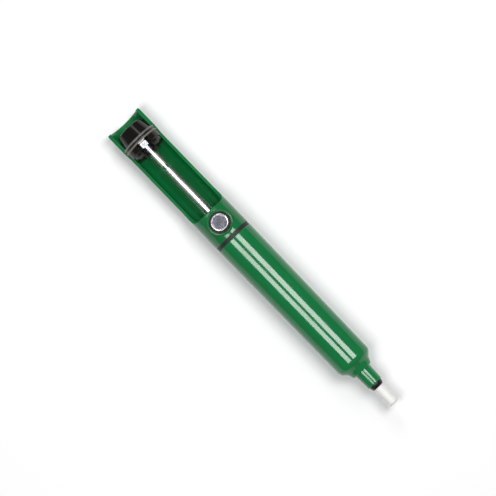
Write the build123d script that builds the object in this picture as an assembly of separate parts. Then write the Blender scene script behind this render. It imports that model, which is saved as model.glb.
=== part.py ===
"""Spring-driven desoldering pump with a trough handle, a push-to-load plunger and a release button.

The pump is modelled along X: the open end of the handle is at the rear and the nozzle points towards +X.
Each sub-part is built about the pump's own centre line, with X counted from the open end of the handle,
and is moved at the end so that the origin lies under the middle of the pump, on the bench it lies on.
"""
from build123d import *
import math
import os

# ---- Cutting and selecting ------------------------------------------------------------------------
past = 1.0                  # how far a cutter runs past the face that it cuts
near = 0.01                 # how close an edge lies to the station that it is picked by

# ---- Plunger travel -------------------------------------------------------------------------------
stroke = 43.0               # how far the knob is pushed in before the latch catches
button_travel = 2.0         # how far the release button goes down

# ---- Plunger rod and knob -------------------------------------------------------------------------
rod_r = 2.0
rod_chamfer = 0.4
rod_fit = 0.05              # radial running clearance of the rod in its guides
rod_passage = 0.2           # radial clearance where the rod only passes through
knob_inset = 4.8            # open end of the handle to the knob's thumb face
knob_cap_r = 8.0            # at the thumb face; the cap flares from there to the body
knob_cap_length = 7.5
knob_body_length = 11.2     # from the first rib to the knob's front end
knob_cheek_length = 8.2     # full-radius part of that
knob_tip_r = 5.0
knob_fit = 0.3              # radial clearance of the knob's body in the trough
knob_rear_round = 1.0
knob_rod_depth = 6.6        # length of rod held in the knob
crown_rim_gap = 0.4         # crown's radius below the handle's outside, and its height over the rims
crown_length = 6.8
crown_wall = 3.2
crown_front_round = 0.9
rib_count = 2
rib_width = 1.1
rib_height = 0.5
rib_round = 0.3
rib_pitch = 2.1
thumb_dish_r = 5.2
thumb_dish_depth = 0.7
nut_flats = 7.0             # M4 nut, across flats
nut_thickness = 3.2
nut_bevel = 0.35            # share of the corners' stand that the bevel takes off
nut_gap = 0.1               # clearance of the locknut in its slot
slot_back = 3.1             # first rib to the back of the locknut's slot
ferrule_wall = 0.6
ferrule_length = 2.7
ferrule_chamfer = 0.3

# ---- Handle and housing ---------------------------------------------------------------------------
trough_step = 0.1           # the trough's radius beyond the barrel's bore
handle_wall = 1.6
end_band_wall = 2.0         # thicker band round the open end
end_band_length = 13.0
end_band_taper = 6.0
end_lead = 0.2              # loss of radius at the open end's edge
end_lead_length = 1.0
knob_stop_gap = 3.2         # knob's front end to the bulkhead, plunger loaded
scoop_r = 8.5               # radius of the sweep from the rims up to the housing's top
roof = 1.2                  # the housing's top reaches this far back over the bulkhead's face
rim_round = 0.35
bulkhead = 2.3
housing_tail = 3.7          # button well to the seam

# ---- Release button -------------------------------------------------------------------------------
button_r = 4.75
button_fit = 0.1            # radial clearance of the button in its bezel
button_proud = 2.5          # above the boss
button_rim = 0.85           # width of the bright rim round the sunken top
button_sink = 0.35
button_sink_round = 0.3
button_height = 8.5
button_round = 0.4
well_clearance = 0.25       # radial, round the button below the bezel
well_wall = 2.2
well_floor = 2.0
boss_wall = 0.85            # outside the bezel
boss_height = 0.9           # above the housing's top line
boss_blend = 0.45
boss_edge_round = 0.4
bezel_wall = 1.25
bezel_depth = 2.5
bezel_proud = 0.2
latch_thickness = 2.0
latch_width = 7.6
latch_web = 2.3             # metal under the rod
latch_gap = 0.12            # between the latch and the rod
latch_tenon_r = 1.5
latch_tenon_length = 2.5
latch_groove_width = 2.5
latch_groove_depth = 0.8
button_spring_wire = 0.5
button_spring_r = 3.2
button_spring_turns = 4

# ---- Joint between the housing and the barrel -----------------------------------------------------
seam = 2.1                  # width of the black ring between the two green mouldings
seam_inset = 0.3            # ring's radius below the barrel's
seam_gap = 0.05             # axial gap each side of the ring
spigot_length = 7.9         # beyond the seam
spigot_fit = 0.06           # radial clearance of the spigot in the barrel
spigot_wall = 1.35
lug_r = 1.4
lug_height = 0.75
lug_position = 3.7          # barrel's rear face to the lugs' centres
lug_gap = 0.2
twist_angle = 25.0          # turn that brings the lugs to their way out

# ---- Barrel ---------------------------------------------------------------------------------------
bore_r = 9.4
barrel_wall = 1.9           # at the rear
barrel_draft = 0.7          # loss of outside radius along the tube
barrel_length = 93.2        # rear face to the start of the cone
cone_length = 3.3
neck_r = 7.35
neck_length = 3.1
neck_draft = 1.1
collar_r = 4.85
collar_length = 9.6
collar_draft = 0.3
collar_round = 0.4
barrel_round = 0.5
shoulder_round = 4.0        # where the tube turns into the cone
neck_blend = 1.5            # where the cone runs into the neck
neck_round = 1.2            # front edge of the neck
shoulder_back = 2.8         # spring shoulder behind the start of the cone
shoulder_wall = 2.4         # radial width of that shoulder
seat_r = 4.3                # pocket of the nozzle's flange
seat_depth = 0.8            # nozzle's seat behind the collar

# ---- Nozzle ---------------------------------------------------------------------------------------
nozzle_r = 2.85
nozzle_bore_r = 1.2
nozzle_stand = 12.4         # in front of the grommet
nozzle_step = 0.25          # the shank inside the collar is this much thicker
nozzle_flange_r = 4.2
nozzle_flange = 2.5
nozzle_tip_round = 1.1
nozzle_funnel = 1.3
grommet_r = 4.0
grommet_stand = 2.6         # in front of the collar
grommet_plug_r = 3.75
grommet_plug = 1.8
grommet_lip = 0.1           # rubber left round the nozzle at the grommet's front

# ---- Piston, spring and cleaning pin --------------------------------------------------------------
guide_thickness = 4.0
bumper_thickness = 2.0
bumper_r = 6.5
bumper_passage = 0.4        # radial clearance of the rod in the bumper
bumper_gap = 0.1
piston_fit = 0.3            # radial clearance of the piston body in the bore
piston_length = 9.0
piston_chamfer = 0.4
piston_nose_r = 6.4
piston_nose_length = 2.7
ring_section_r = 1.2
ring_fit = 0.06             # radial clearance of the piston ring in the bore
ring_position = 5.5         # from the piston's rear face
ring_groove_width = 2.6
snap_ring_r = 3.1
snap_ring_thickness = 0.8
snap_ring_inset = 0.4       # behind the piston's rear face
snap_ring_opening = 1.6
snap_ring_gap = 0.1         # radial, in the piston's recess
snap_groove_depth = 0.4
washer_r = 5.0
washer_thickness = 0.8
rod_end_stand = 0.8         # rod beyond the piston nut
spring_wire = 1.2
spring_gap = 1.3            # between the spring and the bore
spring_turns = 14
pin_r = 0.75
pin_tip_r = 0.25
pin_grip = 6.0
pin_beyond_tip = 1.0        # pin outside the nozzle when the plunger is loaded
bush_wall = 1.5
bush_flange_r = 3.9
bush_flange = 0.8

# ---- Stations along the pump, from the open end of the handle -------------------------------------
knob_rib = knob_inset + knob_cap_length
knob_front = knob_rib + knob_body_length
x_bulkhead = knob_front + stroke + knob_stop_gap
well_r = button_r + well_clearance
x_latch = x_bulkhead + bulkhead + well_r
x_seam = x_latch + well_r + housing_tail
x_barrel = x_seam + seam
x_spigot = x_barrel + spigot_length
x_cone = x_barrel + barrel_length
x_neck = x_cone + cone_length
x_collar = x_neck + neck_length
x_collar_end = x_collar + collar_length
x_grommet_end = x_collar_end + grommet_stand
length = x_grommet_end + nozzle_stand
x_piston = x_spigot + bumper_thickness + bumper_gap
x_piston_face = x_piston + piston_length
x_nose = x_piston_face + piston_nose_length
x_rod_end = x_nose + washer_thickness + nut_thickness + rod_end_stand
x_shoulder = x_cone - shoulder_back
x_seat = x_collar - seat_depth
x_slot = knob_rib + slot_back
x_rod_start = x_slot - knob_rod_depth
x_locknut = x_slot + nut_gap
x_snap_ring = x_piston + snap_ring_inset

# ---- Radii that follow from the ones above --------------------------------------------------------
barrel_r = bore_r + barrel_wall
trough_r = bore_r + trough_step
handle_r = trough_r + handle_wall
end_band_r = trough_r + end_band_wall
spigot_r = bore_r - spigot_fit
cavity_r = spigot_r - spigot_wall
boss_top = barrel_r + boss_height
button_top = boss_top + button_proud
button_bottom = button_top - button_height
well_bottom = -(barrel_r - well_floor)
latch_bottom = -(rod_r + latch_gap + latch_web)
latch_groove_x = x_latch - stroke
bezel_r = button_r + button_fit + bezel_wall
boss_r = bezel_r + boss_wall


def turned(points, arc=360):
    """Solid made by turning a closed outline of (x, radius) points about the pump's centre line."""
    return revolve(make_face(Polyline(*points, close=True)), axis=Axis.X, revolution_arc=arc)


def tube(x_start, x_end, outer, inner):
    """Plain ring on the centre line, from one station to another."""
    return turned([(x_start, inner), (x_end, inner), (x_end, outer), (x_start, outer)])


def rod_along_x(x_start, x_end, radius):
    """Plain round bar on the centre line, from one station to another."""
    return turned([(x_start, 0), (x_end, 0), (x_end, radius), (x_start, radius)])


def box_between(low, high):
    """Box from its lowest corner to its highest corner."""
    size = [b - a for a, b in zip(low, high)]
    middle = [(a + b) / 2 for a, b in zip(low, high)]
    return Pos(*middle) * Box(*size)


def upright(x, z_start, z_end, radius):
    """Round bar standing on the button's line or another vertical line of the pump."""
    return Pos(x, 0, (z_start + z_end) / 2) * Cylinder(radius, z_end - z_start)


def arch_radius(half_width, depth):
    """Radius of the arc that rises by this depth over this half width, as a dish or a shoulder does."""
    return (half_width ** 2 + depth ** 2) / (2 * depth)


def hex_nut(x_start, flats, thickness, hole_r):
    """Chamfered hexagon nut on the centre line, with two flats facing sideways."""
    corner_r = flats / math.sqrt(3)
    prism = Plane.YZ * RegularPolygon(corner_r, 6, rotation=30)
    nut = Pos(x_start, 0, 0) * extrude(prism, thickness)
    edge = nut_bevel * (corner_r - flats / 2)
    bevel = turned([
        (x_start, 0), (x_start, flats / 2), (x_start + edge, corner_r),
        (x_start + thickness - edge, corner_r), (x_start + thickness, flats / 2),
        (x_start + thickness, 0),
    ])
    return (nut & bevel) - rod_along_x(x_start - past, x_start + thickness + past, hole_r)


def coil_spring(x_start, x_end, mean_r, wire, turns):
    """Open coil spring lying on the centre line, its wire just inside both end stations."""
    height = x_end - x_start - wire
    path = Helix(height / turns, height, mean_r, center=(x_start + wire / 2, 0, 0), direction=(1, 0, 0))
    section = Plane(origin=path @ 0, z_dir=path % 0) * Circle(wire / 2)
    return sweep(section, path=path, is_frenet=True)


# ---- Housing: trough handle, bulkhead, button boss and spigot in one moulding ---------------------
def handle_outside():
    """Outside of the handle and the housing: end band, plain handle, housing, and the spigot."""
    return turned([
        (0, 0), (0, end_band_r - end_lead), (end_lead_length, end_band_r), (end_band_length, end_band_r),
        (end_band_length + end_band_taper, handle_r), (x_bulkhead - roof - scoop_r, handle_r),
        (x_bulkhead, barrel_r), (x_seam, barrel_r), (x_seam, spigot_r),
        (x_spigot, spigot_r), (x_spigot, 0),
    ])


def scoop_cut():
    """Everything over the rims, with a rounded sweep up to the housing's top."""
    start = x_bulkhead - roof - scoop_r
    end = start + scoop_r
    high = 2 * (barrel_r + scoop_r)
    outline = Polyline((end, scoop_r), (end, high), (-past, high), (-past, 0), (start, 0))
    sweep_up = CenterArc((start, scoop_r), scoop_r, 270, 90)
    side = make_face(Curve() + [outline, sweep_up])
    return extrude(Plane.XZ * side, high, both=True)


def outer_rim_edges(body):
    """Outer edges of the handle's opening: along both rims, up the sweep and across the housing's top."""
    top_x = x_bulkhead - roof
    faces = body.faces().filter_by_position(Axis.X, 0, top_x + near)
    rims = faces.filter_by(Axis.Z).filter_by_position(Axis.Z, -near, near)
    sweep_face = faces.filter_by(GeomType.CYLINDER).filter_by_position(Axis.Z, near, barrel_r)
    top = faces.filter_by(Axis.X).filter_by_position(Axis.X, top_x - near, top_x + near)
    edges = (rims + sweep_face + top).edges().filter_by(Axis.Y, reverse=True)
    middle_r = trough_r + handle_wall / 2
    return [e for e in edges if math.hypot((e @ 0.5).Y, (e @ 0.5).Z) > middle_r]


def bayonet_lugs():
    """Two round lugs on the spigot, one each side."""
    bar = Cylinder(lug_r, 2 * (spigot_r + lug_height), rotation=(90, 0, 0))
    return Pos(x_barrel + lug_position, 0, 0) * bar


def housing():
    """Handle and housing moulding."""
    body = handle_outside() + upright(x_latch, 0, boss_top, boss_r)
    foot = body.edges().filter_by(GeomType.BSPLINE).sort_by(Axis.Z)[-1]
    body = fillet(foot, boss_blend)
    rim = body.edges().filter_by(GeomType.CIRCLE).filter_by_position(Axis.Z, boss_top - near, boss_top + near)
    body = fillet(rim, boss_edge_round)
    body -= rod_along_x(-past, x_bulkhead, trough_r)
    body -= scoop_cut()
    cavity = rod_along_x(x_bulkhead + bulkhead, x_spigot + past, cavity_r)
    body -= cavity - upright(x_latch, -barrel_r, boss_top, well_r + well_wall)
    body += bayonet_lugs() - rod_along_x(0, length, cavity_r)
    body -= upright(x_latch, well_bottom, button_top, well_r)
    body -= upright(x_latch, boss_top + bezel_proud - bezel_depth, button_top, bezel_r)
    body -= rod_along_x(x_bulkhead - past, x_latch, rod_r + bush_wall)
    body -= rod_along_x(x_latch, x_spigot - guide_thickness, rod_r + rod_passage)
    return fillet(outer_rim_edges(body), rim_round)


def rear_rod_bush():
    """Flanged bush that guides the rod through the bulkhead."""
    sleeve = tube(x_bulkhead, x_bulkhead + bulkhead, rod_r + bush_wall, rod_r + rod_fit)
    flange = tube(x_bulkhead - bush_flange, x_bulkhead, bush_flange_r, rod_r + rod_fit)
    return sleeve + flange


def front_rod_guide():
    """Disc in the spigot's mouth that guides the rod at the piston's end."""
    return tube(x_spigot - guide_thickness, x_spigot, cavity_r, rod_r + rod_fit)


def recoil_bumper():
    """Rubber washer that the piston lands on."""
    return tube(x_spigot, x_spigot + bumper_thickness, bumper_r, rod_r + bumper_passage)


def barrel_seal():
    """Black ring round the spigot, between the housing and the barrel."""
    return tube(x_seam, x_barrel - seam_gap, barrel_r - seam_inset, spigot_r)


# ---- Release button -------------------------------------------------------------------------------
def button_bezel():
    """Black ring let into the boss round the button."""
    top = boss_top + bezel_proud
    ring = upright(x_latch, top - bezel_depth, top, bezel_r)
    ring -= upright(x_latch, top - bezel_depth, top, button_r + button_fit)
    return fillet(ring.edges().group_by(Axis.Z)[-1], bezel_proud)


def release_button():
    """Turned button with a rounded edge and a sunken flat top, and a socket for the latch's tenon."""
    cap = upright(x_latch, button_bottom, button_top, button_r)
    cap = fillet(cap.edges().group_by(Axis.Z)[-1], button_round)
    sunk = upright(x_latch, button_top - button_sink, button_top + past, button_r - button_rim)
    cap -= fillet(sunk.edges().group_by(Axis.Z)[0], button_sink_round)
    return cap - upright(x_latch, button_bottom, button_bottom + latch_tenon_length, latch_tenon_r)


def latch_slide():
    """Steel plate under the button, with a tall slot round the rod."""
    half = latch_thickness / 2
    plate = box_between((x_latch - half, -latch_width / 2, latch_bottom),
                        (x_latch + half, latch_width / 2, button_bottom))
    slot_r = rod_r + latch_gap
    slot = box_between((x_latch - latch_thickness, -slot_r, -slot_r),
                       (x_latch + latch_thickness, slot_r, slot_r + button_travel))
    plate -= slot
    tenon = upright(x_latch, button_bottom, button_bottom + latch_tenon_length, latch_tenon_r)
    return plate + tenon


def button_spring():
    """Coil spring that lifts the latch, standing on the floor of the well."""
    rise = latch_bottom - well_bottom
    lying = coil_spring(0, rise, button_spring_r, button_spring_wire, button_spring_turns)
    return Pos(x_latch, 0, well_bottom) * (Rot(0, -90, 0) * lying)


# ---- Plunger --------------------------------------------------------------------------------------
def plunger_rod():
    """Ground steel rod, with the latch groove, the snap-ring groove and the cleaning pin's hole."""
    rod = turned([
        (x_rod_start, 0), (x_rod_start, rod_r - rod_chamfer), (x_rod_start + rod_chamfer, rod_r),
        (x_rod_end - rod_chamfer, rod_r), (x_rod_end, rod_r - rod_chamfer), (x_rod_end, 0),
    ])
    half = latch_groove_width / 2
    rod -= tube(latch_groove_x - half, latch_groove_x + half, 2 * rod_r, rod_r - latch_groove_depth)
    rod -= tube(x_snap_ring, x_snap_ring + snap_ring_thickness, 2 * rod_r, rod_r - snap_groove_depth)
    return rod - rod_along_x(x_rod_end - pin_grip, x_rod_end + past, pin_r)


def knob_body():
    """Cap and full-round body of the knob, with the thumb's dish and the rod's hole."""
    body_r = trough_r - knob_fit
    cheek_end = knob_rib + knob_cheek_length
    dish_bottom = knob_inset + thumb_dish_depth
    outline = Polyline(
        (knob_inset, thumb_dish_r), (knob_inset, knob_cap_r), (knob_rib, body_r),
        (cheek_end, body_r), ((cheek_end + knob_front) / 2, (2 * body_r + knob_tip_r) / 3),
        (knob_front, knob_tip_r), (knob_front, 0), (dish_bottom, 0))
    dish = RadiusArc((dish_bottom, 0), (knob_inset, thumb_dish_r),
                     arch_radius(thumb_dish_r, thumb_dish_depth))
    body = revolve(make_face(outline + dish), axis=Axis.X)
    rear = body.edges().filter_by(GeomType.CIRCLE).group_by(Axis.X)[0].sort_by(SortBy.RADIUS)[-1]
    body = fillet(rear, knob_rear_round)
    return body - rod_along_x(x_rod_start - nut_gap, knob_front + past, rod_r)


def outside_circles(ring):
    """The two outer edges of a plain ring, rear one first."""
    return ring.edges().filter_by(GeomType.CIRCLE).group_by(SortBy.RADIUS)[-1].sort_by(Axis.X)


def knob_crown():
    """Ribbed half-round crown that rides over the handle's rims."""
    crown_r = handle_r - crown_rim_gap
    low_r = crown_r - rib_height
    inside_r = crown_r - crown_wall
    crown = tube(knob_rib, knob_rib + crown_length, low_r, inside_r)
    crown = fillet(outside_circles(crown)[-1], crown_front_round)
    for number in range(rib_count):
        rib_start = knob_rib + number * rib_pitch
        rib = tube(rib_start, rib_start + rib_width, crown_r, inside_r)
        crown += fillet(outside_circles(rib), rib_round)
    over_rims = box_between((knob_inset, -barrel_r, crown_rim_gap), (knob_front, barrel_r, barrel_r))
    return crown & over_rims


def plunger_knob():
    """Thumb knob: dished cap, ribbed crown, and two cheeks with the locknut's slot between them."""
    slot_half = nut_flats / math.sqrt(3) + nut_gap
    slot_low = -(nut_flats / 2 + nut_gap)
    slot = box_between((x_slot, -slot_half, slot_low), (knob_front + past, slot_half, barrel_r))
    return (knob_body() - slot) + (knob_crown() - slot)


def knob_locknut():
    """Nut that locks the knob on the rod's thread, with one flat facing up."""
    return Rot(30, 0, 0) * hex_nut(x_locknut, nut_flats, nut_thickness, rod_r)


def knob_ferrule():
    """Bright sleeve in front of the locknut."""
    start = x_locknut + nut_thickness
    sleeve = tube(start, start + ferrule_length, rod_r + ferrule_wall, rod_r)
    front = sleeve.edges().filter_by(GeomType.CIRCLE).group_by(Axis.X)[-1].sort_by(SortBy.RADIUS)[-1]
    return chamfer(front, ferrule_chamfer)


def piston_body():
    """Piston with the ring's groove, the snap ring's recess and a nose that centres the spring."""
    piston_r = bore_r - piston_fit
    body = rod_along_x(x_piston, x_piston_face, piston_r)
    ends = body.edges().filter_by(GeomType.CIRCLE)
    body = chamfer(ends, piston_chamfer) + rod_along_x(x_piston_face, x_nose, piston_nose_r)
    half = ring_groove_width / 2
    ring_x = x_piston + ring_position
    body -= tube(ring_x - half, ring_x + half, bore_r, bore_r - ring_fit - 2 * ring_section_r)
    recess_end = x_snap_ring + snap_ring_thickness
    body -= rod_along_x(x_piston - past, recess_end, snap_ring_r + snap_ring_gap)
    return body - rod_along_x(x_piston, x_nose, rod_r)


def piston_ring():
    """Rubber O-ring in the piston's groove."""
    centre_r = bore_r - ring_fit - ring_section_r
    ring = Torus(centre_r, ring_section_r)
    return Pos(x_piston + ring_position, 0, 0) * (Rot(0, 90, 0) * ring)


def piston_snap_ring():
    """Open ring in the rod's groove that the piston pulls against."""
    end = x_snap_ring + snap_ring_thickness
    half = snap_ring_opening / 2
    ring = tube(x_snap_ring, end, snap_ring_r, rod_r - snap_groove_depth)
    return ring - box_between((x_snap_ring - past, -half, 0), (end + past, half, snap_ring_r + past))


def piston_washer():
    """Washer between the piston's nose and its nut."""
    return tube(x_nose, x_nose + washer_thickness, washer_r, rod_r)


def piston_nut():
    """Nut that clamps the piston on the rod."""
    return hex_nut(x_nose + washer_thickness, nut_flats, nut_thickness, rod_r)


def cleaning_pin():
    """Thin steel pin held in the rod's end, which clears the nozzle each time the plunger is loaded."""
    tip = length + pin_beyond_tip - stroke
    return turned([
        (x_rod_end - pin_grip, 0), (x_rod_end - pin_grip, pin_r), (tip - pin_r, pin_r),
        (tip, pin_tip_r), (tip, 0),
    ])


def main_spring():
    """Compression spring between the piston and the barrel's shoulder."""
    mean_r = bore_r - spring_gap - spring_wire / 2
    return coil_spring(x_piston_face, x_shoulder, mean_r, spring_wire, spring_turns)


# ---- Barrel and nozzle ----------------------------------------------------------------------------
def bayonet_groove():
    """L-shaped way for one lug: a turn from the locked position, and a way out through the rear face."""
    reach = spigot_r + lug_height + lug_gap
    half_width = lug_r + lug_gap
    half_angle = math.degrees(math.asin(half_width / spigot_r))
    centre = x_barrel + lug_position
    path = [(centre - half_width, bore_r - past), (centre + half_width, bore_r - past),
            (centre + half_width, reach), (centre - half_width, reach)]
    exit_way = [(x_barrel - past, bore_r - past), (centre + half_width, bore_r - past),
                (centre + half_width, reach), (x_barrel - past, reach)]
    turn = Rot(-half_angle - twist_angle, 0, 0) * turned(path, twist_angle + 2 * half_angle)
    way_out = Rot(-half_angle - twist_angle, 0, 0) * turned(exit_way, 2 * half_angle)
    return turn + way_out


def barrel():
    """Barrel: drafted tube, cone, neck and collar, with the spring's shoulder and the nozzle's seat."""
    body = turned([
        (x_barrel, 0), (x_barrel, barrel_r), (x_cone, barrel_r - barrel_draft), (x_neck, neck_r),
        (x_collar, neck_r - neck_draft), (x_collar, collar_r), (x_collar_end, collar_r - collar_draft),
        (x_collar_end, 0),
    ])
    circles = body.edges().filter_by(GeomType.CIRCLE).group_by(Axis.X)
    body = fillet(circles[-1], collar_round)
    rounds = ((x_collar, neck_round), (x_neck, neck_blend), (x_cone, shoulder_round),
              (x_barrel, barrel_round))
    for station, radius in rounds:
        circles = body.edges().filter_by(GeomType.CIRCLE)
        rings = circles.filter_by_position(Axis.X, station - near, station + near)
        body = fillet(rings.sort_by(SortBy.RADIUS)[-1], radius)
    inside = turned([
        (x_barrel - past, 0), (x_barrel - past, bore_r), (x_shoulder, bore_r),
        (x_shoulder, bore_r - shoulder_wall),
        (x_cone, seat_r), (x_seat, seat_r), (x_seat, 0),
    ])
    body -= inside
    body -= rod_along_x(x_seat - past, x_collar_end + past, nozzle_r + nozzle_step)
    body -= rod_along_x(x_collar_end - grommet_plug, x_collar_end + past, grommet_plug_r)
    for side in (0, 180):
        body -= Rot(side, 0, 0) * bayonet_groove()
    return body


def nozzle():
    """Push-through nozzle: flange inside the barrel, shank through the collar, and the working tip."""
    shank_r = nozzle_r + nozzle_step
    body = turned([
        (x_seat - nozzle_flange, 0), (x_seat - nozzle_flange, nozzle_flange_r), (x_seat, nozzle_flange_r),
        (x_seat, shank_r), (x_grommet_end, shank_r), (x_grommet_end, nozzle_r), (length, nozzle_r),
        (length, 0),
    ])
    tip = body.edges().filter_by(GeomType.CIRCLE).group_by(Axis.X)[-1]
    body = fillet(tip, nozzle_tip_round)
    inlet = x_seat - nozzle_flange
    body -= rod_along_x(inlet - past, length + past, nozzle_bore_r)
    return body - turned([
        (inlet - near, 0), (inlet - near, nozzle_bore_r + nozzle_funnel),
        (inlet + nozzle_funnel, nozzle_bore_r), (inlet + nozzle_funnel, 0),
    ])


def nozzle_grommet():
    """Black rubber ring in the collar's mouth that grips the nozzle, with a rounded shoulder."""
    hole_r = nozzle_r + nozzle_step
    lip_r = hole_r + grommet_lip
    x_plug = x_collar_end - grommet_plug
    shoulder = RadiusArc((x_collar_end, grommet_r), (x_grommet_end, lip_r),
                         arch_radius(grommet_stand, grommet_r - lip_r))
    outline = Polyline(
        (x_grommet_end, lip_r), (x_grommet_end, hole_r), (x_plug, hole_r), (x_plug, grommet_plug_r),
        (x_collar_end, grommet_plug_r), (x_collar_end, grommet_r))
    return revolve(make_face(outline + shoulder), axis=Axis.X)


parts = {
    "housing": housing,
    "rear_rod_bush": rear_rod_bush,
    "front_rod_guide": front_rod_guide,
    "recoil_bumper": recoil_bumper,
    "barrel_seal": barrel_seal,
    "button_bezel": button_bezel,
    "release_button": release_button,
    "latch_slide": latch_slide,
    "button_spring": button_spring,
    "plunger_rod": plunger_rod,
    "plunger_knob": plunger_knob,
    "knob_locknut": knob_locknut,
    "knob_ferrule": knob_ferrule,
    "piston_body": piston_body,
    "piston_ring": piston_ring,
    "piston_snap_ring": piston_snap_ring,
    "piston_washer": piston_washer,
    "piston_nut": piston_nut,
    "cleaning_pin": cleaning_pin,
    "main_spring": main_spring,
    "barrel": barrel,
    "nozzle": nozzle,
    "nozzle_grommet": nozzle_grommet,
}

to_bench = Pos(-length / 2, 0, max(end_band_r, handle_r, barrel_r))
os.makedirs("parts", exist_ok=True)
for name, make in parts.items():
    export_step(to_bench * make(), f"parts/{name}.step")
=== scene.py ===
import math

import bmesh
import bpy
import numpy as np
from mathutils import Matrix, Vector


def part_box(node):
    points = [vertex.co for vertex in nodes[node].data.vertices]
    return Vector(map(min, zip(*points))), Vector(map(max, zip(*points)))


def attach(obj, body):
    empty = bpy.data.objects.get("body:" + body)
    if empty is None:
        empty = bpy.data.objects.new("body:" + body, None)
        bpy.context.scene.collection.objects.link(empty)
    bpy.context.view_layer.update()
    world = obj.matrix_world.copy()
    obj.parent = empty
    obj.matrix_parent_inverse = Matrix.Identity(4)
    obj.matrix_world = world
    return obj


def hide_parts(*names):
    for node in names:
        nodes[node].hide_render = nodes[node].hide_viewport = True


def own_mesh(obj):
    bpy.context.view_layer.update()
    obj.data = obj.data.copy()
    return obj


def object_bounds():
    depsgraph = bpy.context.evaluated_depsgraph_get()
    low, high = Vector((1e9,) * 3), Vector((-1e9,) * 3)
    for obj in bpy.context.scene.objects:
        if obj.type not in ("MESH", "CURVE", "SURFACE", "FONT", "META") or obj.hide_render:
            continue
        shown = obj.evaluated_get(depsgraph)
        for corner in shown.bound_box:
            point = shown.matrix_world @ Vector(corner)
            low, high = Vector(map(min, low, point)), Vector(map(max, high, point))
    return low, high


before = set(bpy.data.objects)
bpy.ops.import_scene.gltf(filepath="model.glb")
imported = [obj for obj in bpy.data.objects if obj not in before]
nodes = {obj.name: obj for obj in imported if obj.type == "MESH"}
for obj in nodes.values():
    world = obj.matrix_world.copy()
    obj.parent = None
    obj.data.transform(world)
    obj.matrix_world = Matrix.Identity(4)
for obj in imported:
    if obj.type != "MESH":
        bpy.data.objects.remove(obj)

cad_box = [list(corner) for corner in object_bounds()]

# ---- Camera -------------------------------------------------------------------------------------
# The pump is seen from almost straight above, through a long lens, with its handle at the top left
# and its nozzle at the bottom right of the picture.
pump_middle = Vector([(low + high) / 2 for low, high in zip(*cad_box)])
camera_place = Vector((0.076, 0.0, 1.36))
camera_aim = pump_middle + Vector((-0.0093, 0.0014, -0.0016))
picture_turn = math.radians(46.04)
camera_lens = 181.0

camera_data = bpy.data.cameras.new("camera")
camera_data.lens = camera_lens
camera_data.sensor_width = 36.0
camera_data.clip_start = 0.01
camera_data.clip_end = 20.0
camera = bpy.data.objects.new("camera", camera_data)
bpy.context.scene.collection.objects.link(camera)
back = (camera_place - camera_aim).normalized()
up = Vector((-math.sin(picture_turn), math.cos(picture_turn), 0.0))
right = up.cross(back).normalized()
up = back.cross(right)
camera.matrix_world = Matrix((
    (right.x, up.x, back.x, camera_place.x),
    (right.y, up.y, back.y, camera_place.y),
    (right.z, up.z, back.z, camera_place.z),
    (0, 0, 0, 1)))
bpy.context.scene.camera = camera
bpy.context.scene.view_settings.view_transform = "Standard"

# ---- Studio -------------------------------------------------------------------------------------
# A plain pale table top under soft lamps. Two wide panels hang over the pump, one each side of the
# view, and draw two bands of light along the barrel. A weak one stands behind the handle's left.
floor_half = 3.0
floor_colour = (0.83, 0.83, 0.83, 1.0)
floor_roughness = 0.7
air_colour = (0.95, 0.96, 1.0, 1.0)
air_strength = 0.22
corners = floor_half * np.array([(-1, -1, 0), (1, -1, 0), (1, 1, 0), (-1, 1, 0)], float)
floor_mesh = bpy.data.meshes.new("floor")
floor_mesh.from_pydata(corners.tolist(), [], [(0, 1, 2, 3)])
floor = bpy.data.objects.new("floor", floor_mesh)
bpy.context.scene.collection.objects.link(floor)
floor_paint = bpy.data.materials.new("floor_paint")
floor_paint.use_nodes = True
floor_shader = floor_paint.node_tree.nodes["Principled BSDF"]
floor_shader.inputs["Base Color"].default_value = floor_colour
floor_shader.inputs["Roughness"].default_value = floor_roughness
floor_mesh.materials.append(floor_paint)


def lamp(name, place, size, watts):
    """Rectangular soft lamp at a place, facing the pump's middle."""
    data = bpy.data.lights.new(name, "AREA")
    data.shape = "RECTANGLE"
    data.size, data.size_y = size
    data.energy = watts
    body = bpy.data.objects.new(name, data)
    beam = pump_middle - Vector(place)
    face = beam.to_track_quat("-Z", "Y").to_matrix().to_4x4()
    body.matrix_world = Matrix.Translation(place) @ face
    bpy.context.scene.collection.objects.link(body)


lamp("left_panel", place=(0.03, 0.35, 0.95), size=(0.30, 0.46), watts=5.4)
lamp("right_panel", place=(0.03, -0.33, 0.95), size=(0.30, 0.42), watts=4.6)
lamp("back_panel", place=(-0.9, 0.5, 0.9), size=(0.6, 0.6), watts=4.0)

world = bpy.data.worlds.new("studio_air")
bpy.context.scene.world = world
world.use_nodes = True
air = world.node_tree.nodes["Background"]
air.inputs["Color"].default_value = air_colour
air.inputs["Strength"].default_value = air_strength

# ---- Housing ------------------------------------------------------------------------------------
# Handle and housing are one moulding of glossy green plastic: a trough at the rear, a bulkhead,
# the button's boss, and a spigot for the barrel. Flow marks and light scuffs show on its skin.
moulding_green = (0.003, 0.150, 0.038, 1.0)
moulding_deep_green = (0.0015, 0.118, 0.029, 1.0)
rubbed_green = (0.040, 0.240, 0.095, 1.0)
green_dust = (0.28, 0.30, 0.27, 1.0)
moulding_ior = 1.49
peel_height = 0.0000018      # metres
smudge_dull, scratch_dull, dust_dull = 0.07, 0.18, 0.3


def add(tree, kind, sockets=None, **settings):
    """Adds one shader node. A socket takes a plain value, or an output of another node to link."""
    made = tree.nodes.new(kind)
    for name, value in settings.items():
        setattr(made, name, value)
    for key, value in (sockets or {}).items():
        if isinstance(value, bpy.types.NodeSocket):
            tree.links.new(value, made.inputs[key])
        else:
            made.inputs[key].default_value = value
    return made


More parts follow.
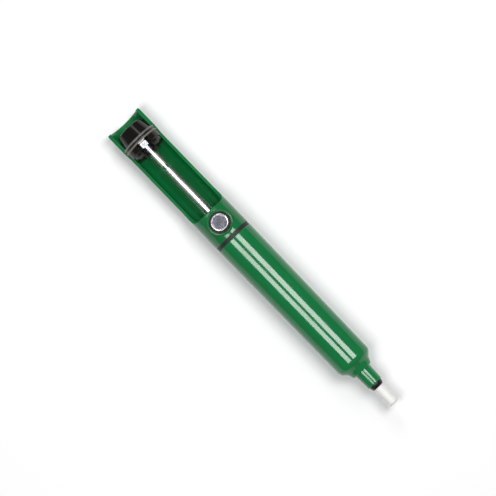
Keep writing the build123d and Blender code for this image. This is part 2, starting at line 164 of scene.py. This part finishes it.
def maths(tree, operation, first, second=0.0):
    """One arithmetic step between two values or sockets."""
    return add(tree, "ShaderNodeMath", {0: first, 1: second}, operation=operation).outputs[0]


def span(tree, value, low, high, to_low=0.0, to_high=1.0):
    """Stretches values between low and high over a new range, held at its ends."""
    step = {"Value": value, "From Min": low, "From Max": high, "To Min": to_low, "To Max": to_high}
    return add(tree, "ShaderNodeMapRange", step).outputs["Result"]


def blend(tree, share, first, second):
    """Colour between two colours."""
    mixer = add(tree, "ShaderNodeMix", data_type="RGBA")
    sockets = (mixer.inputs[0], mixer.inputs[6], mixer.inputs[7])
    for socket, value in zip(sockets, (share, first, second)):
        if isinstance(value, bpy.types.NodeSocket):
            tree.links.new(value, socket)
        else:
            socket.default_value = value
    return mixer.outputs[2]


def effect(name, inputs, outputs):
    """Empty node group. An input given as None is a vector, and all else is a number."""
    group = bpy.data.node_groups.new(name, "ShaderNodeTree")
    for key, value in inputs.items():
        kind = "NodeSocketVector" if value is None else "NodeSocketFloat"
        socket = group.interface.new_socket(name=key, in_out="INPUT", socket_type=kind)
        if value is not None:
            socket.default_value = value
    for key in outputs:
        group.interface.new_socket(name=key, in_out="OUTPUT", socket_type="NodeSocketFloat")
    given = group.nodes.new("NodeGroupInput").outputs
    result = group.nodes.new("NodeGroupOutput").inputs
    return group, given, result


def noise(tree, vector, scale, detail=2.0, roughness=0.5):
    """Cloudy pattern with features about 1/scale metres across."""
    sockets = {"Vector": vector, "Scale": scale, "Detail": detail, "Roughness": roughness}
    return add(tree, "ShaderNodeTexNoise", sockets).outputs["Fac"]


def moulded_skin():
    """Flow of the melt: broad cloudy tone drawn out along the pump, and a faint orange peel."""
    given_sockets = {"Place": None, "Peel": 900.0}
    group, given, result = effect("moulded_skin", given_sockets, ("Tone", "Height"))
    flow = {"Vector": given["Place"], "Scale": (0.35, 1.0, 1.0)}
    drawn = add(group, "ShaderNodeMapping", flow).outputs[0]
    cloud = noise(group, drawn, 70.0, 3.0)
    streak = noise(group, drawn, 420.0, 4.0, 0.6)
    tone = maths(group, "ADD", maths(group, "MULTIPLY", cloud, 0.7),
                 maths(group, "MULTIPLY", streak, 0.3))
    group.links.new(span(group, tone, 0.35, 0.65), result["Tone"])
    peel = add(group, "ShaderNodeTexNoise", {
        "Vector": given["Place"], "Scale": given["Peel"], "Detail": 1.0})
    group.links.new(peel.outputs["Fac"], result["Height"])
    return group


def handling():
    """Marks of use: fine crossing scratches in patches, and dull smudges where fingers rest."""
    given_sockets = {"Place": None, "Fineness": 1.0}
    group, given, result = effect("handling", given_sockets, ("Scratch", "Smudge"))
    lines = []
    for turn, seed in ((0.35, 0.0), (-0.6, 3.1), (1.2, 7.7)):
        turned = add(group, "ShaderNodeMapping", {
            "Vector": given["Place"], "Location": (seed, seed, seed),
            "Rotation": (turn, 0.4 * turn, turn), "Scale": (60.0, 2600.0, 2600.0)}).outputs[0]
        line = noise(group, turned, 1.0, 1.0, 0.4)
        from_crest = maths(group, "ABSOLUTE", maths(group, "SUBTRACT", line, 0.5))
        lines.append(span(group, from_crest, 0.012, 0.0))
    patches = span(group, noise(group, given["Place"], 160.0, 2.0), 0.5, 0.72)
    crossing = maths(group, "MAXIMUM", maths(group, "MAXIMUM", lines[0], lines[1]), lines[2])
    fine = maths(group, "MULTIPLY", maths(group, "MULTIPLY", crossing, patches), given["Fineness"])
    group.links.new(fine, result["Scratch"])
    smudge = span(group, noise(group, given["Place"], 95.0, 4.0, 0.62), 0.48, 0.7)
    group.links.new(smudge, result["Smudge"])
    return group


def rubbed_edges():
    """Edges rubbed pale: high where the surface turns sharply within a short reach."""
    group, given, result = effect("rubbed_edges", {"Place": None, "Reach": 0.0003}, ("Rub",))
    soft = add(group, "ShaderNodeBevel", {"Radius": given["Reach"]}, samples=4).outputs["Normal"]
    true = add(group, "ShaderNodeNewGeometry").outputs["Normal"]
    facing = add(group, "ShaderNodeVectorMath", {0: soft, 1: true}, operation="DOT_PRODUCT")
    turn = span(group, facing.outputs["Value"], 0.985, 0.80)
    broken = span(group, noise(group, given["Place"], 1400.0, 3.0, 0.65), 0.38, 0.60)
    group.links.new(maths(group, "MULTIPLY", turn, broken), result["Rub"])
    return group


def settled_dust():
    """Dull dust in corners and grooves, thicker in cloudy spots."""
    group, given, result = effect("settled_dust", {"Place": None, "Depth": 0.004}, ("Dust",))
    hollow = add(group, "ShaderNodeAmbientOcclusion", {"Distance": given["Depth"]}, samples=4)
    corner = span(group, hollow.outputs["AO"], 0.75, 0.25)
    cloud = span(group, noise(group, given["Place"], 500.0, 4.0, 0.6), 0.35, 0.75)
    group.links.new(maths(group, "MULTIPLY", corner, cloud), result["Dust"])
    return group


skin_group, handling_group = moulded_skin(), handling()
edge_group, dust_group = rubbed_edges(), settled_dust()


def new_material(name, **plain):
    """Material with its shader; plain sets the sockets that are the same all over the piece."""
    material = bpy.data.materials.new(name)
    material.use_nodes = True
    tree = material.node_tree
    shader = tree.nodes["Principled BSDF"]
    for key, value in plain.items():
        shader.inputs[key.replace("_", " ").title().replace("Ior", "IOR")].default_value = value
    place = add(tree, "ShaderNodeTexCoord").outputs["Object"]
    return material, tree, shader, place


def use(tree, group, **sockets):
    """Places a shared effect in a material."""
    return add(tree, "ShaderNodeGroup", sockets, node_tree=group).outputs


def raise_surface(tree, shader, height, distance):
    """Feeds a height pattern, in metres at its full value, to the shader's normal."""
    sockets = {"Height": height, "Distance": distance, "Strength": 1.0}
    bump = add(tree, "ShaderNodeBump", sockets)
    tree.links.new(bump.outputs["Normal"], shader.inputs["Normal"])


def dress(name, material):
    """Gives a CAD piece its material in every slot."""
    data = nodes[name].data
    data.materials.clear()
    data.materials.append(material)


def glossy_moulding(name, light, deep, rubbed, gloss, peel):
    """Moulded plastic: flow tone, orange peel, smudges and scratches, and pale rubbed edges."""
    material, tree, shader, place = new_material(name, ior=moulding_ior)
    skin = use(tree, skin_group, Place=place, Peel=peel)
    marks = use(tree, handling_group, Place=place)
    rub = use(tree, edge_group, Place=place)["Rub"]
    dust = use(tree, dust_group, Place=place)["Dust"]
    colour = blend(tree, skin["Tone"], deep, light)
    colour = blend(tree, maths(tree, "MULTIPLY", rub, 0.5), colour, rubbed)
    colour = blend(tree, maths(tree, "MULTIPLY", dust, 0.25), colour, green_dust)
    tree.links.new(colour, shader.inputs["Base Color"])
    dull = maths(tree, "ADD", maths(tree, "MULTIPLY", marks["Smudge"], smudge_dull),
                 maths(tree, "MULTIPLY", marks["Scratch"], scratch_dull))
    dull = maths(tree, "ADD", dull, maths(tree, "MULTIPLY", dust, dust_dull))
    tree.links.new(maths(tree, "ADD", dull, gloss), shader.inputs["Roughness"])
    height = maths(tree, "SUBTRACT", skin["Height"], maths(tree, "MULTIPLY", marks["Scratch"], 0.2))
    raise_surface(tree, shader, height, peel_height)
    return material


green_moulding = glossy_moulding(
    "green_moulding", moulding_green, moulding_deep_green, rubbed_green, gloss=0.13, peel=700.0)
dress("housing", green_moulding)

# ---- Rod bush and front guide -------------------------------------------------------------------
# A flanged black nylon bush in the bulkhead, and a white acetal disc in the spigot's mouth, both
# turned from bar and pressed in, carry the rod. Their faces show the tool's fine rings.
pump_line = (0.0, 0.0, 0.5 * (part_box("nozzle")[0][2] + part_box("nozzle")[1][2]))
along_pump = (1.0, 0.0, 0.0)
nylon_black = (0.016, 0.015, 0.014, 1.0)
nylon_worn = (0.050, 0.048, 0.045, 1.0)
acetal_white = (0.78, 0.77, 0.73, 1.0)
acetal_shade = (0.66, 0.64, 0.58, 1.0)
swarf_dust = (0.22, 0.20, 0.17, 1.0)
tool_groove = 0.000006       # metres


def turning():
    """Rings of a turning tool: cloudy in the distance along an axis and in the radius from it."""
    given_sockets = {"Place": None, "Through": None, "Axis": None, "Fineness": 5000.0}
    group, given, result = effect("turning", given_sockets, ("Height", "Tone"))
    arm = add(group, "ShaderNodeVectorMath", {0: given["Place"], 1: given["Through"]},
              operation="SUBTRACT").outputs["Vector"]
    along = add(group, "ShaderNodeVectorMath", {0: arm, 1: given["Axis"]}, operation="DOT_PRODUCT")
    along = along.outputs["Value"]
    lever = add(group, "ShaderNodeVectorMath", {0: arm, 1: given["Axis"]},
                operation="CROSS_PRODUCT")
    radius = add(group, "ShaderNodeVectorMath", {0: lever.outputs["Vector"]}, operation="LENGTH")
    track = add(group, "ShaderNodeCombineXYZ", {"X": along, "Y": radius.outputs["Value"]})
    track = track.outputs["Vector"]
    group.links.new(noise(group, track, given["Fineness"], 3.0, 0.6), result["Height"])
    group.links.new(span(group, noise(group, track, 900.0, 2.0), 0.35, 0.65), result["Tone"])
    return group


turning_group = turning()


def turned_plastic(name, light, shade, gloss):
    """Plastic cut on a lathe: tool rings in height and gloss, soft tone, dust in its corners."""
    material, tree, shader, place = new_material(name)
    rings = use(tree, turning_group, Place=place, Axis=along_pump, Through=pump_line,
                Fineness=3800.0)
    marks = use(tree, handling_group, Place=place, Fineness=0.7)
    dust = use(tree, dust_group, Place=place, Depth=0.0015)["Dust"]
    colour = blend(tree, rings["Tone"], shade, light)
    colour = blend(tree, maths(tree, "MULTIPLY", dust, 0.35), colour, swarf_dust)
    tree.links.new(colour, shader.inputs["Base Color"])
    dull = maths(tree, "ADD", maths(tree, "MULTIPLY", rings["Height"], 0.12),
                 maths(tree, "MULTIPLY", marks["Smudge"], 0.10))
    tree.links.new(maths(tree, "ADD", dull, gloss), shader.inputs["Roughness"])
    raise_surface(tree, shader, rings["Height"], tool_groove)
    return material


dress("rear_rod_bush", turned_plastic("bush_nylon", nylon_worn, nylon_black, gloss=0.34))
acetal = turned_plastic("acetal", acetal_white, acetal_shade, gloss=0.30)
dress("front_rod_guide", acetal)

# ---- Bumper and seam seal -----------------------------------------------------------------------
# A soft rubber washer takes the piston's blow, and a black ring closes the seam between the two
# green mouldings. Both are moulded rubber: matt, finely grained, with a pale bloom on the skin.
rubber_black = (0.004, 0.004, 0.004, 1.0)
rubber_bloom = (0.016, 0.016, 0.017, 1.0)
rubber_grain = 0.000012      # metres


def moulded_rubber(name, black, bloom, gloss, grain_scale):
    """Moulded rubber: fine grain in height, cloudy bloom in tone, and a scuffed, uneven gloss."""
    material, tree, shader, place = new_material(name)
    grain = noise(tree, place, grain_scale, 3.0, 0.7)
    cloud = span(tree, noise(tree, place, 330.0, 4.0, 0.6), 0.40, 0.68)
    marks = use(tree, handling_group, Place=place)
    rub = use(tree, edge_group, Place=place, Reach=0.0002)["Rub"]
    tone = maths(tree, "MAXIMUM", maths(tree, "MULTIPLY", cloud, 0.5),
                 maths(tree, "MULTIPLY", rub, 0.8))
    tree.links.new(blend(tree, tone, black, bloom), shader.inputs["Base Color"])
    dull = maths(tree, "ADD", maths(tree, "MULTIPLY", cloud, 0.15),
                 maths(tree, "MULTIPLY", marks["Smudge"], 0.1))
    tree.links.new(maths(tree, "ADD", dull, gloss), shader.inputs["Roughness"])
    raise_surface(tree, shader, grain, rubber_grain)
    return material


rubber = moulded_rubber("rubber", rubber_black, rubber_bloom, gloss=0.50, grain_scale=2600.0)
for name in ("recoil_bumper", "barrel_seal", "piston_ring"):
    dress(name, rubber)

# ---- Button bezel -------------------------------------------------------------------------------
# A black gloss ring pressed into the boss round the button. Its rim is rubbed by the thumb, and
# fine dust gathers where it meets the boss.
gloss_black = (0.003, 0.003, 0.0028, 1.0)
gloss_black_flow = (0.006, 0.0055, 0.005, 1.0)
gloss_black_rubbed = (0.050, 0.047, 0.042, 1.0)

dress("button_bezel", glossy_moulding(
    "bezel_moulding", gloss_black_flow, gloss_black, gloss_black_rubbed, gloss=0.16, peel=1400.0))

# ---- Release button -----------------------------------------------------------------------------
# The button is turned from bright aluminium: a polished rim round a sunken flat that the tool has
# left finely ringed. The flat is painted a darker violet grey, a painted reflection, and the thumb
# leaves hairline scratches.
button_low, button_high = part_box("release_button")
button_line = tuple(0.5 * (button_low[i] + button_high[i]) for i in range(2)) + (0.0,)
aluminium = (0.74, 0.74, 0.76, 1.0)
aluminium_shade = (0.52, 0.52, 0.55, 1.0)
dish_reflection_grey = (0.17, 0.165, 0.20, 1.0)
rim_inside, rim_start = 0.0037, 0.0040
metal_dirt = (0.10, 0.09, 0.08, 1.0)


def reach_from(tree, place, line, across):
    """Distance of a place from a line, measured only along the axes where across is one."""
    arm = add(tree, "ShaderNodeVectorMath", {0: place, 1: line}, operation="SUBTRACT")
    flat = add(tree, "ShaderNodeVectorMath", {0: arm.outputs["Vector"], 1: across},
               operation="MULTIPLY")
    reach = add(tree, "ShaderNodeVectorMath", {0: flat.outputs["Vector"]}, operation="LENGTH")
    return reach.outputs["Value"]


def lay_colour_over(material, colour, share):
    """Lays a colour over a material's own, as far as share gives from the tree and the place."""
    tree = material.node_tree
    shader = tree.nodes["Principled BSDF"]
    own_colour = shader.inputs["Base Color"].links[0].from_socket
    place = add(tree, "ShaderNodeTexCoord").outputs["Object"]
    tree.links.new(blend(tree, share(tree, place), own_colour, colour), shader.inputs["Base Color"])
    return material


def bright_metal(name, light, shade, gloss, axis, through, fineness, groove, scratch=0.25):
    """Bare metal: tool rings in height, tone and gloss, then scratches and smudges over them."""
    material, tree, shader, place = new_material(name, metallic=1.0)
    rings = use(tree, turning_group, Place=place, Axis=axis, Through=through, Fineness=fineness)
    marks = use(tree, handling_group, Place=place)
    dust = use(tree, dust_group, Place=place, Depth=0.0015)["Dust"]
    clean = maths(tree, "SUBTRACT", 1.0, maths(tree, "MULTIPLY", marks["Smudge"], 0.35))
    tone = maths(tree, "MULTIPLY", rings["Tone"], clean)
    colour = blend(tree, tone, shade, light)
    colour = blend(tree, maths(tree, "MULTIPLY", dust, 0.5), colour, metal_dirt)
    tree.links.new(colour, shader.inputs["Base Color"])
    dull = maths(tree, "ADD", maths(tree, "MULTIPLY", rings["Height"], 0.10),
                 maths(tree, "MULTIPLY", marks["Smudge"], 0.08))
    dull = maths(tree, "ADD", dull, maths(tree, "MULTIPLY", marks["Scratch"], scratch))
    tree.links.new(maths(tree, "ADD", dull, gloss), shader.inputs["Roughness"])
    furrow = maths(tree, "MULTIPLY", marks["Scratch"], 0.3)
    height = maths(tree, "SUBTRACT", rings["Height"], furrow)
    raise_surface(tree, shader, height, groove)
    return material


def painted_dish_reflection(tree, place):
    """Painted reflection: high inside the rim, a little cloudy."""
    reach = reach_from(tree, place, button_line, (1.0, 1.0, 0.0))
    middle = span(tree, reach, rim_start, rim_inside)
    cloudy = span(tree, noise(tree, place, 420.0, 3.0, 0.55), 0.25, 0.75, 0.80, 1.0)
    return maths(tree, "MULTIPLY", middle, cloudy)


button_metal = bright_metal(
    "button_aluminium", aluminium, aluminium_shade, gloss=0.13,
    axis=(0.0, 0.0, 1.0), through=button_line, fineness=5200.0, groove=0.0000007)
# The sunken flat gets a painted reflection in darker violet grey.
dress("release_button", lay_colour_over(button_metal, dish_reflection_grey, painted_dish_reflection))

# ---- Latch --------------------------------------------------------------------------------------
# The latch is a plate stamped from bright steel and riveted to the button, with a tall slot for
# the rod. Its sides keep the grain of the rolled strip.
steel_bright = (0.56, 0.55, 0.53, 1.0)
steel_shade = (0.34, 0.33, 0.32, 1.0)
dress("latch_slide", bright_metal(
    "latch_steel", steel_bright, steel_shade, gloss=0.24,
    axis=(0.0, 1.0, 0.0), through=button_line, fineness=3600.0, groove=0.000004))

# ---- Button spring ------------------------------------------------------------------------------
# A small coil of drawn spring wire stands on the floor of the button's well and lifts the latch.
# Its end coils lie close and are ground flat.
wire_bright = (0.50, 0.50, 0.51, 1.0)
wire_shade = (0.27, 0.27, 0.28, 1.0)
die_groove = 0.000004        # metres
lift_wire_r = 0.00025


def coil_spring(name, low, high, wire_r, turns, closed_turns, along, facets=16, steps_per_turn=56):
    """Coil between two box corners, with its axis along one of the frame's axes.

    The wire's middle turns on a circle whose radius is half the box less the wire's. Over the
    closed turns at each end it advances about one wire's width per turn, and over the others it
    shares what is left. The skin is that line plus a circle of the wire's radius, in the plane of
    the coil's radius and axis. Both ends are ground: nothing passes the box's two end planes.
    """
    low, high = np.array(low, float), np.array(high, float)
    across = [axis for axis in range(3) if axis != along]
    centre = 0.5 * (low + high)
    mean_r = 0.5 * (high - low)[across].min() - wire_r
    steps = int(turns * steps_per_turn) + 1
    turn = np.linspace(0.0, turns, steps)
    height, closed = (high - low)[along], 2 * wire_r * closed_turns
    rise = np.interp(turn, (0.0, closed_turns, turns - closed_turns, turns),
                     (0.0, closed, height - closed, height))
    rise = rise * (height - wire_r) / height + 0.5 * wire_r
    angle = 2 * math.pi * turn[:, None]
    ring = 2 * math.pi * np.arange(facets)[None, :] / facets
    radius = mean_r + wire_r * np.cos(ring)
    skin = np.empty((steps, facets, 3))
    skin[..., along] = low[along] + np.clip(rise[:, None] + wire_r * np.sin(ring), 0.0, height)
    skin[..., across[0]] = centre[across[0]] + radius * np.cos(angle)
    skin[..., across[1]] = centre[across[1]] + radius * np.sin(angle)
    points = skin.reshape(-1, 3)
    first, second = np.meshgrid(np.arange(steps - 1), np.arange(facets), indexing="ij")
    after = (second + 1) % facets
    quads = np.stack((first * facets + second, (first + 1) * facets + second,
                      (first + 1) * facets + after, first * facets + after), axis=-1).reshape(-1, 4)
    mesh = bpy.data.meshes.new(name)
    caps = [list(range(facets)), list(range((steps - 1) * facets, steps * facets))]
    mesh.from_pydata(points.tolist(), [], quads.tolist() + [caps[0], caps[1][::-1]])
    length = 2 * math.pi * mean_r * turn
    lay = mesh.uv_layers.new(name="wire")
    corner = np.empty(len(mesh.loops), np.int32)
    mesh.loops.foreach_get("vertex_index", corner)
    girth = 2 * math.pi * wire_r
    wound = np.stack((length[corner // facets], (corner % facets) * girth / facets), axis=-1)
    lay.data.foreach_set("uv", wound.astype(np.float32).ravel())
    mesh.polygons.foreach_set("use_smooth", np.arange(len(mesh.polygons)) < len(quads))
    built = bmesh.new()
    built.from_mesh(mesh)
    bmesh.ops.recalc_face_normals(built, faces=built.faces)
    built.to_mesh(mesh)
    built.free()
    piece = bpy.data.objects.new(name, mesh)
    bpy.context.scene.collection.objects.link(piece)
    return piece


def drawn_wire(name, light, shade):
    """Drawn wire: die lines run along the wire, and the oiled skin is unevenly dull."""
    material, tree, shader, place = new_material(name, metallic=1.0)
    wound = add(tree, "ShaderNodeUVMap", uv_map="wire").outputs["UV"]
    drawn = {"Vector": wound, "Scale": (120.0, 9000.0, 1.0)}
    die = noise(tree, add(tree, "ShaderNodeMapping", drawn).outputs[0], 1.0, 3.0, 0.6)
    cloud = span(tree, noise(tree, place, 400.0, 3.0), 0.35, 0.70)
    clean = maths(tree, "SUBTRACT", 1.0, maths(tree, "MULTIPLY", cloud, 0.4))
    tone = maths(tree, "MULTIPLY", span(tree, die, 0.30, 0.70), clean)
    tree.links.new(blend(tree, tone, shade, light), shader.inputs["Base Color"])
    tree.links.new(span(tree, cloud, 0.0, 1.0, 0.22, 0.40), shader.inputs["Roughness"])
    raise_surface(tree, shader, die, die_groove)
    return material


spring_steel = drawn_wire("spring_steel", wire_bright, wire_shade)
low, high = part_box("button_spring")
lift_spring = coil_spring(
    "lift_spring", low, high, lift_wire_r, turns=4.5, closed_turns=0.75, along=2)
lift_spring.data.materials.append(spring_steel)
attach(lift_spring, "housing")
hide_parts("button_spring")
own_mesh(lift_spring)

# ---- Plunger rod --------------------------------------------------------------------------------
# The rod is ground steel bar, 4 mm through, with the latch's groove near the knob. Grinding leaves
# fine rings round it, and its running leaves faint lines along it.
rod_bright = (0.80, 0.79, 0.77, 1.0)
rod_shade = (0.62, 0.60, 0.57, 1.0)
dress("plunger_rod", bright_metal(
    "rod_steel", rod_bright, rod_shade, gloss=0.24,
    axis=along_pump, through=pump_line, fineness=6500.0, groove=0.0000006))

# ---- Knob ---------------------------------------------------------------------------------------
# The thumb knob is glossy black plastic: a dished cap, a ribbed crown that rides over the handle's
# rims, and two cheeks. The thumb has polished the dish and rubbed its edges grey, and the tops of
# the ribs carry a painted highlight in the same grey.
knob_black = (0.0025, 0.0022, 0.0016, 1.0)
knob_flow = (0.0075, 0.0060, 0.0040, 1.0)
# Grey of the rubbed edges, and of the painted highlight on the rib tops.
knob_rub_and_highlight_grey = (0.15, 0.14, 0.125, 1.0)
rib_foot, rib_top = 0.01036, 0.01060
knob_specular = 0.32


def painted_rib_highlight(tree, place):
    """Painted highlight: high on the tops of the ribs, in patches."""
    reach = reach_from(tree, place, pump_line, (0.0, 1.0, 1.0))
    patchy = span(tree, noise(tree, place, 900.0, 3.0, 0.6), 0.25, 0.55, 0.55, 1.0)
    return maths(tree, "MULTIPLY", span(tree, reach, rib_foot, rib_top), patchy)


knob_plastic = glossy_moulding(
    "knob_moulding", knob_flow, knob_black, knob_rub_and_highlight_grey, gloss=0.15, peel=1100.0)
knob_shader = knob_plastic.node_tree.nodes["Principled BSDF"]
knob_shader.inputs["Specular IOR Level"].default_value = knob_specular
# The tops of the ribs are painted grey: a painted highlight.
dress("plunger_knob", lay_colour_over(knob_plastic, knob_rub_and_highlight_grey, painted_rib_highlight))

# ---- Locknut and ferrule ------------------------------------------------------------------------
# A chromed hexagon nut locks the knob on the rod's thread, and a bright sleeve stands in front of
# it. Chrome keeps a clear reflection under hairline wiping marks.
chrome = (0.82, 0.83, 0.85, 1.0)
chrome_shade = (0.62, 0.63, 0.66, 1.0)
chromed = bright_metal(
    "chromed_steel", chrome, chrome_shade, gloss=0.21,
    axis=along_pump, through=pump_line, fineness=2600.0, groove=0.000003, scratch=0.15)
for name in ("knob_locknut", "knob_ferrule"):
    dress(name, chromed)

# ---- Piston -------------------------------------------------------------------------------------
# The piston is turned acetal with a greased rubber ring. A washer and a nut clamp it on the rod
# against an open ring, all of zinc-plated steel, slightly yellow and clouded.
zinc = (0.60, 0.59, 0.54, 1.0)
zinc_shade = (0.38, 0.38, 0.36, 1.0)
dress("piston_body", acetal)
plated = bright_metal(
    "zinc_plated_steel", zinc, zinc_shade, gloss=0.27,
    axis=along_pump, through=pump_line, fineness=1800.0, groove=0.000005)
for name in ("piston_snap_ring", "piston_washer", "piston_nut"):
    dress(name, plated)

# ---- Cleaning pin -------------------------------------------------------------------------------
# A straight pin of bright drawn steel, held in the rod's end, clears the nozzle at each loading.
# Hot solder has tinned and browned its tip.
pin_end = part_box("cleaning_pin")[1][0]
browned_length = 0.012
tinned = (0.20, 0.15, 0.11, 1.0)


def browned_end(tree, place):
    """Rises along the pin's last stretch."""
    along = add(tree, "ShaderNodeSeparateXYZ", {"Vector": place}).outputs["X"]
    return span(tree, along, pin_end - browned_length, pin_end, 0.0, 0.85)


pin_steel = bright_metal(
    "pin_steel", steel_bright, steel_shade, gloss=0.18,
    axis=along_pump, through=pump_line, fineness=5200.0, groove=0.000002)
dress("cleaning_pin", lay_colour_over(pin_steel, tinned, browned_end))

# ---- Main spring --------------------------------------------------------------------------------
# The main spring stands between the piston and the barrel's shoulder: fourteen turns of drawn wire,
# its end coils closed and ground flat.
spring_wire_r = 0.0006
low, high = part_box("main_spring")
power_spring = coil_spring(
    "power_spring", low, high, spring_wire_r, turns=14.0, closed_turns=1.0, along=0)
power_spring.data.materials.append(spring_steel)
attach(power_spring, "barrel")
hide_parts("main_spring")
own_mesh(power_spring)

# ---- Barrel -------------------------------------------------------------------------------------
# The barrel is moulded in the same glossy green, a little brighter than the housing because its
# wall is thin. A short twist frees it from the housing's spigot.
barrel_green = (0.003, 0.168, 0.044, 1.0)
barrel_deep_green = (0.0015, 0.135, 0.034, 1.0)
dress("barrel", glossy_moulding(
    "barrel_moulding", barrel_green, barrel_deep_green, rubbed_green, gloss=0.09, peel=620.0))

# ---- Nozzle and grommet -------------------------------------------------------------------------
# The nozzle is turned from white PTFE, waxy and slightly see-through, so that solder doesn't stick.
# A soft black rubber ring with a polished shoulder grips it in the collar's mouth.
ptfe_white = (0.74, 0.74, 0.71, 1.0)
ptfe_shade = (0.62, 0.61, 0.57, 1.0)
tip_tint = (0.50, 0.45, 0.36, 1.0)
nozzle_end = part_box("nozzle")[1][0]
tinted_length = 0.0022

ptfe, tree, shader, place = new_material(
    "ptfe", subsurface_weight=0.35, subsurface_scale=0.0015, ior=1.36)
shader.inputs["Subsurface Radius"].default_value = (1.0, 0.9, 0.75)
rings = use(tree, turning_group, Place=place, Axis=along_pump, Through=pump_line,
            Fineness=3000.0)
cloud = span(tree, noise(tree, place, 260.0, 3.0), 0.35, 0.70)
along = add(tree, "ShaderNodeSeparateXYZ", {"Vector": place}).outputs["X"]
tip = span(tree, along, nozzle_end - tinted_length, nozzle_end, 0.0, 0.35)
colour = blend(tree, maths(tree, "MULTIPLY", cloud, 0.6), ptfe_white, ptfe_shade)
tinted = maths(tree, "MULTIPLY", tip, noise(tree, place, 1500.0, 3.0))
colour = blend(tree, tinted, colour, tip_tint)
tree.links.new(colour, shader.inputs["Base Color"])
tree.links.new(span(tree, rings["Height"], 0.0, 1.0, 0.30, 0.46), shader.inputs["Roughness"])
raise_surface(tree, shader, rings["Height"], tool_groove)
dress("nozzle", ptfe)

dress("nozzle_grommet", moulded_rubber(
    "grommet_rubber", rubber_black, rubber_bloom, gloss=0.22, grain_scale=1800.0))
